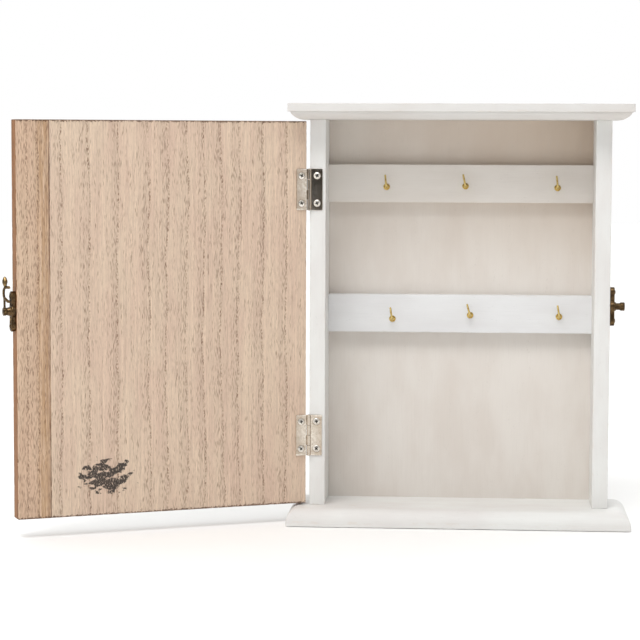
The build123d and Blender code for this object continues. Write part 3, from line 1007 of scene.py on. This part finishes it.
def cast_plate(name, node, body, place, boss):
    """A cast plate with a raised rim round a sunk field, and a pad under each screw."""
    bm = blank()
    rim = [(RIM * (1 - cos(angle)), FIELD + RIM * sin(angle)) for angle in every(15, 7)]
    sunk = [(1.15, 3.36), (1.35, 3.15), (1.45, 2.75), (2 * RIM, FIELD)]
    loft(bm, plate_outline(), [(0.3, 0), (0.08, 0.12), (0, 0.4), (0, 2.3), *rim, *sunk])
    pad = soft([(0, 2.0), (PAD, 2.0), (PAD, 3.3), (1.9, PLATE_HEIGHT), (0, PLATE_HEIGHT)], 0.2)
    for rise in (-RISE, RISE):
        turned(bm, pad, Matrix.Translation((0, rise, 0)), sides=40)
    turned(bm, soft(boss, 0.35, 4), sides=56)
    wear_down(bm, [], 0, 1, ripple=0.08)
    finish_piece(bm, name, node, body, CASTING, place, sharp=50)


def lathe_piece(name, node, body, place, profile):
    """A turned piece with its corners slightly rounded."""
    bm = blank()
    turned(bm, soft(profile, 0.15), sides=56)
    finish_piece(bm, name, node, body, CASTING, place, sharp=40)


tall_boss = [(0, 2.0), (3.9, 2.0), (3.9, 3.2), (3.3, 3.9), (2.9, 5.2), (2.6, 6.15), (0, 6.2)]
low_boss = [(0, 2.0), (3.6, 2.0), (3.6, 3.1), (3.3, 3.4), (0, 3.4)]
cast_plate("latch_casting", "latch_plate", DOOR, latch_frame, tall_boss)
cast_plate("catch_casting", "catch_plate", CABINET, catch_frame, low_boss)
for half, body, turns, place in (
    ("latch", DOOR, (0.5, 1.2), latch_frame), ("catch", CABINET, (0.1, 0.9), catch_frame),
):
    node = f"{half}_plate_screws"
    screws(f"{half}_screws", node, body, CASTING, PLATE_SCREW, plate_seats, turns, place)
# (radius, height) half sections of the turned rivet and of the peg
rivet = [
    (0, 0), (2.2, 0), (2.2, 0.8), (1.4, 0.8), (1.4, 8.0), (2.95, 8.0), (3.0, 8.3),
    (2.55, 8.6), (2.2, 8.5), (1.9, 8.62), (1.0, 8.95), (0, 9.0),
]
peg = [
    (0, 0), (2.2, 0), (2.2, 0.8), (1.6, 0.8), (1.6, 3.4), (3.3, 3.4), (3.3, 3.9),
    (2.5, 4.7), (2.5, 7.0), (3.1, 7.9), (3.1, 10.3), (2.75, 10.7), (2.2, 10.75),
    (1.7, 10.35), (0, 10.2),
]
lathe_piece("latch_rivet", "latch_pivot", DOOR, latch_frame, rivet)
lathe_piece("catch_stud", "catch_peg", CABINET, catch_frame, peg)

LEVER_LOW, LEVER_HIGH = 6.4, 7.9
LEVER_MIDDLE, LEVER_HALF = (LEVER_LOW + LEVER_HIGH) / 2, (LEVER_HIGH - LEVER_LOW) / 2
HUB, HUB_BORE = 2.9, 1.45
ARM_START, ARM_STEP, ARM_STEPS = 1.6, 0.62, 13
LATCH_REACH = 12.8          # from the pivot to the middle of the claw
CLAW_INSIDE, CLAW_WALL = 2.8, 1.3
TAB_MIDDLE, TAB_HALF_WIDTH, TAB_HALF_HEIGHT, TAB_FACETS = 20.8, 3.0, 3.7, 10
NECK_START, NECK_STEP, NECK_HEIGHT = LATCH_REACH + CLAW_INSIDE + 0.6, 0.5, 7.1
PRONG_HALF, PRONG_SWELL = 0.9, 0.4
UPPER_PRONG = ((4.3, 16.8, 4.7), (3.0, 17.0, 5.5), (1.5, 17.0, 6.4))
LOWER_PRONG = ((1.5, 8.3, 6.6), (2.9, 7.3, 5.7), (4.0, 6.7, 5.0))


def bar(bm, path, sections, sides=16, square=0.65):
    """A bar along a path that lies nearly flat, with (half width, half height) sections."""
    def bulge(value):
        return abs(value) ** square * (1 if value > 0 else -1)

    rings = []
    for point, ahead, (half_width, half_height) in zip(path, directions(path), sections):
        aside = Vector((-ahead.y, ahead.x, 0)).normalized()
        ring = []
        for angle in all_round(sides):
            offset = aside * half_width * bulge(cos(angle)) + UP * half_height * bulge(sin(angle))
            ring.append(bm.verts.new(point + offset))
        rings.append(ring)
    bridge(bm, rings, capped=True)


def flowing(points, steps=3):
    """A smooth line through all the points."""
    line = []
    ends = [points[0] * 2 - points[1], *points, points[-1] * 2 - points[-2]]
    for before, start, end, after in zip(ends, ends[1:], ends[2:], ends[3:]):
        bend = 2 * before - 5 * start + 4 * end - after
        twist = 3 * (start - end) + after - before
        for t in (step / steps for step in range(steps)):
            line.append((2 * start + (end - before) * t + bend * t ** 2 + twist * t ** 3) / 2)
    return line + [points[-1]]


def latch_lever():
    """The swing arm: a hub, a slender arm, a claw, a neck and a faceted leaf-shaped tab.
    The claw's two prongs bend towards the plate, clear of the peg's way in."""
    bm = blank()
    hub = [(HUB_BORE, LEVER_LOW), (HUB, LEVER_LOW), (HUB, LEVER_HIGH), (HUB_BORE, LEVER_HIGH)]
    turned(bm, soft(hub + hub[:1], 0.3), sides=48)
    arm, waisted = [], []
    for step in range(ARM_STEPS + 1):
        height = ARM_START + step * ARM_STEP
        bow = -0.5 - 0.9 * sin(height / 9.8 * pi / 2)
        arm.append(Vector((bow, height, LEVER_MIDDLE)))
        waisted.append((1.25 - 0.35 * sin(pi * step / ARM_STEPS), LEVER_HALF))
    bar(bm, arm, waisted)
    middle_radius = CLAW_INSIDE + CLAW_WALL / 2
    claw = [
        Vector((middle_radius * cos(a), LATCH_REACH + middle_radius * sin(a), LEVER_MIDDLE))
        for a in every(15, 13, 90)
    ]
    claw = flowing([Vector(point) for point in (*UPPER_PRONG, *claw, *LOWER_PRONG)])
    sizes = []
    for index in range(len(claw)):
        from_tip = min(index, len(claw) - 1 - index)
        taper = min(1, 0.6 + 0.2 * from_tip)
        swell = PRONG_SWELL * smoothstep(12, 5, from_tip)
        sizes.append(((CLAW_WALL / 2 + swell) * taper, PRONG_HALF * taper))
    bar(bm, claw, sizes)
    neck = [Vector((0, NECK_START + step * NECK_STEP, NECK_HEIGHT)) for step in range(5)]
    bar(bm, neck, [(1.3, 0.7), (1.0, 0.62), (0.8, 0.55), (0.85, 0.6), (1.1, 0.7)])
    rings = []
    for part, height in ((0.34, 5.35), (0.86, 6.15), (1.0, 7.05), (0.86, 7.95), (0.34, 8.75)):
        ring = []
        for angle in (angle + pi / TAB_FACETS for angle in all_round(TAB_FACETS)):
            pinch = 1 - 0.16 * max(0, sin(angle)) * abs(cos(angle))
            x = TAB_HALF_WIDTH * part * cos(angle) * pinch
            y = TAB_MIDDLE + TAB_HALF_HEIGHT * part * sin(angle)
            ring.append(bm.verts.new((x, y, height)))
        rings.append(ring)
    bridge(bm, rings, capped=True)
    finish_piece(bm, "swing_arm", "latch_lever", LEVER, CASTING, latch_frame, sharp=22)


latch_lever()


# ---- key hooks ----
COLLAR, WIRE, HOOK_REACH, HOOK_RISE, HOOK_BEND = 2.45, 0.72, 8.0, 9.2, 2.0


def hook_frame(node, rail):
    """A hook's frame: Z out of the rail, Y along its upright wire."""
    low, high = box(node)
    front = box(rail)[0].y
    x, z = high.x - COLLAR, low.z + COLLAR
    wire = [vert.co / MM for vert in nodes[node].data.vertices]
    tip = [point for point in wire if point.y < front - HOOK_REACH / 2 and point.z > high.z - 1.2]
    tip = sum(tip, Vector()) / len(tip)
    lean = atan2(x - tip.x, tip.z - z)
    return placed((x, front, z), (1, 0, 0), (0, -1, 0)) @ Matrix.Rotation(lean, 4, "Z")


def key_hook(name, node, rail):
    """A shouldered screw hook: a dished collar, and a wire bent square and pointing up."""
    bm = blank()
    collar = [
        (0, -8.5), (0.9, -7.0), (0.9, -0.2), (COLLAR - 0.3, -0.02), (COLLAR, 0.12), (COLLAR, 0.4),
        (2.2, 0.68), (1.85, 0.72), (1.55, 0.55), (1.25, 0.62), (1.0, 0.95), (0.72, 1.25), (0, 1.3),
    ]
    turned(bm, soft(collar, 0.12, 2), sides=56)
    straight = [Vector((0, 0, 0.6 + step)) for step in range(6)]
    corner = [
        Vector((0, HOOK_BEND * (1 - cos(a)), HOOK_REACH - HOOK_BEND * (1 - sin(a))))
        for a in every(10, 10)
    ]
    upright = [Vector((0, HOOK_BEND + step * 0.85, HOOK_REACH)) for step in range(1, 8)]
    round_end = every(15, 7)
    end = [Vector((0, HOOK_RISE - WIRE * (1 - sin(a)), HOOK_REACH)) for a in round_end]
    whole = straight + corner + upright
    radii = [0] + [WIRE] * len(whole) + [WIRE * cos(a) for a in round_end]
    tube(bm, straight[:1] + whole + end, radii)
    place = hook_frame(node, rail)
    finish_piece(bm, name, node, CABINET, ("polished_brass", [brass]), place, sharp=45)


for rail in ("upper", "lower"):
    for side in ("left", "centre", "right"):
        node = f"key_hook_{rail}_{side}"
        key_hook(f"brass_hook_{rail}_{side}", node, f"hook_rail_{rail}")


# ---- wall hangers ----
HANGER_SIZE, HANGER_THICKNESS = (12.0, 25.0), 1.0
KEYHOLE, KEYHOLE_SLOT, KEYHOLE_DROP, KEYHOLE_RISE = 3.4, 1.8, 3.2, 3.6
HANGER_SCREW, HANGER_SCREW_HOLE, HANGER_SCREW_RISE = (1.9, 0.85, 9.0, 0.1), 2.0, 9.5


def on_back(low, high, depth):
    """The frame on the back, at this depth, behind the middle of a box."""
    return placed(((low.x + high.x) / 2, depth, (low.z + high.z) / 2), (-1, 0, 0), (0, 1, 0))


def wall_hanger(side):
    """A flat plate with a keyhole for a nail in the wall, and two screw holes."""
    node = f"wall_hanger_{side}"
    low, high = box(node)
    half_x, half_y = (size / 2 for size in HANGER_SIZE)
    edge = rectangle(-half_x, -half_y, half_x, half_y)
    plate = [point for point, _ in outline(edge, 2.0, 6.0, steps=8)]
    slot_angle = asin(KEYHOLE_SLOT / KEYHOLE)
    start, end = pi / 2 + slot_angle, 2.5 * pi - slot_angle
    lower_arc = circle(KEYHOLE, (0, -KEYHOLE_DROP), 36, start, end)
    upper_arc = circle(KEYHOLE_SLOT, (0, KEYHOLE_RISE), 18, 0, pi)
    rises = (-HANGER_SCREW_RISE, HANGER_SCREW_RISE)
    holes = [lower_arc + upper_arc, *(circle(HANGER_SCREW_HOLE, (0, rise)) for rise in rises)]
    bm = blank()
    cut_sheet(bm, [plate, *(hole[::-1] for hole in holes)], -HANGER_THICKNESS, 0, 0.15)
    place = on_back(low, high, high.y)
    finish_piece(bm, f"hanger_{side}", node, CABINET, ZINC_PLATED, place, sharp=SHEET_SHARP)


for side in ("left", "right"):
    wall_hanger(side)
seats = [on_back(low, high, back_high.y - 0.1) for low, high in solids("wall_hanger_screws")]
turns = [0.4 * number for number in range(len(seats))]
screws("hanger_screws", "wall_hanger_screws", CABINET, ZINC_PLATED, HANGER_SCREW, seats, turns)


# ---- floor, light and camera ----
FLOOR_RADIUS, FLOOR_GAP = 6.0, 0.0003           # metres
LIT = Vector((0, 0, 0.15))                      # the lights and cards face this point
floor_finish = Finish("pale_floor", Roughness=0.85)
specks = floor_finish.noise((60, 60, 60), 4, 0.6)
floor_paint = floor_finish.mix(specks, linear(247, 247, 246), linear(251, 251, 250))
bm = blank()
bmesh.ops.create_circle(bm, cap_ends=True, radius=FLOOR_RADIUS, segments=96)
floor = new_object("floor", bm, [floor_finish.done(floor_paint)])
floor.location.z = -FLOOR_GAP


def studio_light(tree, behind=1.0, horizon=0.4, overhead=0.85):
    """Light from all round: a white wall behind the cabinet, dimmer in front, and brighter
    again overhead. What is seen past the floor is plain white."""
    sky = Nodes(tree)
    _, back, up = sky.split(sky.add("ShaderNodeTexCoord").outputs["Generated"])
    front = sky.ramp(up, 0.3, 0.85, horizon, overhead)
    strength = sky.ramp(back, -0.1, 0.45, front, behind)
    seen = sky.add("ShaderNodeLightPath").outputs["Is Camera Ray"]
    background = tree.nodes["Background"]
    sky.feed(background.inputs["Strength"], sky.ramp(seen, 0.0, 1.0, strength, behind))
    sky.feed(background.inputs["Color"], (1.0, 1.0, 1.0, 1.0))


world = bpy.data.worlds.new("studio")
scene.world = world
world.use_nodes = True
studio_light(world.node_tree)


def aim(thing, location, axis, target=LIT):
    """Stands a thing here, so that this axis of its own faces the target."""
    thing.location = location
    thing.rotation_euler = (Vector(target) - Vector(location)).to_track_quat(axis, "Y").to_euler()


def soft_box(name, location, size, power, target=LIT):
    """A rectangular area light."""
    light = bpy.data.lights.new(name, "AREA")
    light.shape = "RECTANGLE"
    light.size, light.size_y = size
    light.energy = power
    lamp = bpy.data.objects.new(name, light)
    aim(lamp, location, "-Z", target)
    scene.collection.objects.link(lamp)


def card(name, location, size, glow):
    """A dark or glowing card that only reflections see, so that metal has both in it."""
    finish = Finish(name, Roughness=1.0, Emission_Strength=glow, Emission_Color=(1, 1, 1, 1))
    cloth = finish.noise((9, 9, 9))
    material = finish.done(finish.mix(cloth, (0.01, 0.01, 0.01, 1), (0.02, 0.02, 0.02, 1)))
    bm = blank()
    bmesh.ops.create_grid(bm, x_segments=2, y_segments=2, size=0.5)
    sheet = new_object(name, bm, [material])
    sheet.scale = (*size, 1)
    aim(sheet, location, "Z")
    sheet.visible_camera = False
    sheet.visible_diffuse = False
    sheet.visible_shadow = False


soft_box("key_light", (-0.5, -1.45, 2.25), (1.4, 0.9), 32)
soft_box("fill_light", (-1.9, -1.3, 0.9), (1.2, 1.2), 6.5)
soft_box("background_light", (0, 4.4, 3.2), (6.0, 5.0), 70, target=(0, 4.4, 0))
card("front_card", (-0.1, -2.4, 0.6), (1.7, 1.0), 0.0)
card("left_card", (-2.2, 0.1, 0.5), (1.0, 1.2), 0.0)
card("right_card", (1.8, -1.5, 0.4), (1.3, 1.5), 1.0)

scene.view_settings.view_transform = "Standard"

CAMERA_AT = Vector((12.31, -1599.76, 278.67)) * MM
LENS, SENSOR = 123.88, 36.0
YAW, PITCH, ROLL = radians(-4.066), radians(4.636), radians(0.185)
level_right = Vector((cos(YAW), -sin(YAW), 0))
level_ahead = Vector((sin(YAW), cos(YAW), 0))
ahead = level_ahead * cos(PITCH) - UP * sin(PITCH)
above = UP * cos(PITCH) + level_ahead * sin(PITCH)
right = level_right * cos(ROLL) + above * sin(ROLL)
upward = above * cos(ROLL) - level_right * sin(ROLL)
lens = bpy.data.cameras.new("camera")
lens.lens, lens.sensor_width = LENS, SENSOR
lens.clip_end = 50.0
camera = bpy.data.objects.new("camera", lens)
view = Matrix((right, upward, -ahead)).transposed().to_4x4()
view.translation = CAMERA_AT
camera.matrix_world = view
scene.collection.objects.link(camera)
scene.camera = camera
